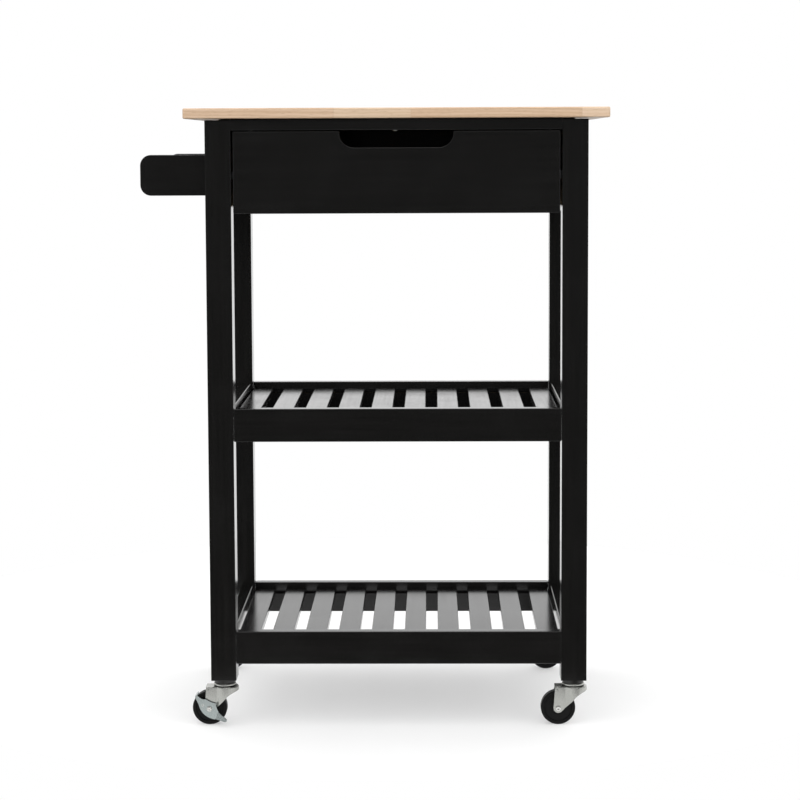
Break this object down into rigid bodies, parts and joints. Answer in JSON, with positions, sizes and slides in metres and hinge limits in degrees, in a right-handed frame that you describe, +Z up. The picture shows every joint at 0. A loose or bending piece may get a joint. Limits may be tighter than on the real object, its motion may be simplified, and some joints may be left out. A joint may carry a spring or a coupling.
{
  "type": "butcher block kitchen cart",
  "caption": "Rolling kitchen cart table: butcher block top on a black frame with a drawer, slatted shelves, a side towel bar and swivel casters, one with a brake.",
  "frame": {"origin": "on the floor, under the centre of the bounding box", "axes": "+Z up, +Y towards the back, +X to the right seen from the drawer side; the towel bar is at -X"},
  "size_m": [0.672, 0.4, 0.9],
  "materials": {
    "worktop_wood": "glued hardwood staves, oiled",
    "lacquer": "satin black lacquer on solid wood",
    "drawer_wood": "clear matt lacquer",
    "runner_metal": "mill finish",
    "zinc": "bright zinc plating",
    "wheel_rubber": "satin black"
  },
  "bodies": {
    "cart_frame": {"worktop": "worktop_wood", "leg_front_left": "lacquer", "leg_front_right": "lacquer", "leg_rear_left": "lacquer", "leg_rear_right": "lacquer", "apron_left": "lacquer", "apron_right": "lacquer", "apron_back": "lacquer", "rail_above_drawer": "lacquer", "lower_shelf_rail_front": "lacquer", "lower_shelf_rail_back": "lacquer", "lower_shelf_rail_left": "lacquer", "lower_shelf_rail_right": "lacquer", "lower_shelf_slat_1": "lacquer", "lower_shelf_slat_2": "lacquer", "lower_shelf_slat_3": "lacquer", "lower_shelf_slat_4": "lacquer", "lower_shelf_slat_5": "lacquer", "lower_shelf_slat_6": "lacquer", "lower_shelf_slat_7": "lacquer", "lower_shelf_slat_8": "lacquer", "lower_shelf_slat_9": "lacquer", "lower_shelf_slat_10": "lacquer", "upper_shelf_rail_front": "lacquer", "upper_shelf_rail_back": "lacquer", "upper_shelf_rail_left": "lacquer", "upper_shelf_rail_right": "lacquer", "upper_shelf_slat_1": "lacquer", "upper_shelf_slat_2": "lacquer", "upper_shelf_slat_3": "lacquer", "upper_shelf_slat_4": "lacquer", "upper_shelf_slat_5": "lacquer", "upper_shelf_slat_6": "lacquer", "upper_shelf_slat_7": "lacquer", "upper_shelf_slat_8": "lacquer", "upper_shelf_slat_9": "lacquer", "upper_shelf_slat_10": "lacquer", "drawer_runner_left": "runner_metal", "drawer_runner_right": "runner_metal", "towel_bar_bracket_front": "lacquer", "towel_bar_bracket_back": "lacquer", "towel_bar": "lacquer", "caster_stem_front_left": "zinc", "caster_stem_front_right": "zinc", "caster_stem_rear_left": "zinc", "caster_stem_rear_right": "zinc"},
    "drawer": {"drawer_front": "lacquer", "drawer_side_left": "drawer_wood", "drawer_side_right": "drawer_wood", "drawer_back": "drawer_wood", "drawer_bottom": "drawer_wood"},
    "fork_front_left": {"caster_fork_front_left": "zinc"},
    "wheel_front_left": {"caster_wheel_front_left": "wheel_rubber"},
    "fork_front_right": {"caster_fork_front_right": "zinc"},
    "wheel_front_right": {"caster_wheel_front_right": "wheel_rubber"},
    "fork_rear_left": {"caster_fork_rear_left": "zinc"},
    "wheel_rear_left": {"caster_wheel_rear_left": "wheel_rubber"},
    "fork_rear_right": {"caster_fork_rear_right": "zinc"},
    "wheel_rear_right": {"caster_wheel_rear_right": "wheel_rubber"},
    "brake": {"brake_lever": "zinc"}
  },
  "joints": [
    {"name": "drawer_slide", "type": "slide", "parent": "cart_frame", "child": "drawer", "axis": [0, -1, 0], "range_m": [0, 0.26]},
    {"name": "swivel_front_left", "type": "hinge", "parent": "cart_frame", "child": "fork_front_left", "pos_m": [-0.2235, -0.1715, 0.0562], "axis": [0, 0, 1], "continuous": true},
    {"name": "roll_front_left", "type": "hinge", "parent": "fork_front_left", "child": "wheel_front_left", "pos_m": [-0.2455, -0.1715, 0.02525], "axis": [0, 1, 0], "continuous": true},
    {"name": "swivel_front_right", "type": "hinge", "parent": "cart_frame", "child": "fork_front_right", "pos_m": [0.2875, -0.1715, 0.0562], "axis": [0, 0, 1], "continuous": true},
    {"name": "roll_front_right", "type": "hinge", "parent": "fork_front_right", "child": "wheel_front_right", "pos_m": [0.2655, -0.1715, 0.02525], "axis": [0, 1, 0], "continuous": true},
    {"name": "swivel_rear_left", "type": "hinge", "parent": "cart_frame", "child": "fork_rear_left", "pos_m": [-0.2235, 0.1715, 0.0562], "axis": [0, 0, 1], "continuous": true},
    {"name": "roll_rear_left", "type": "hinge", "parent": "fork_rear_left", "child": "wheel_rear_left", "pos_m": [-0.2455, 0.1715, 0.02525], "axis": [0, 1, 0], "continuous": true},
    {"name": "swivel_rear_right", "type": "hinge", "parent": "cart_frame", "child": "fork_rear_right", "pos_m": [0.2875, 0.1715, 0.0562], "axis": [0, 0, 1], "continuous": true},
    {"name": "roll_rear_right", "type": "hinge", "parent": "fork_rear_right", "child": "wheel_rear_right", "pos_m": [0.2655, 0.1715, 0.02525], "axis": [0, 1, 0], "continuous": true},
    {"name": "brake_release", "type": "hinge", "parent": "fork_front_left", "child": "brake", "pos_m": [-0.2455, -0.1715, 0.02525], "axis": [0, -1, 0], "range_deg": [0, 25]}
  ]
}
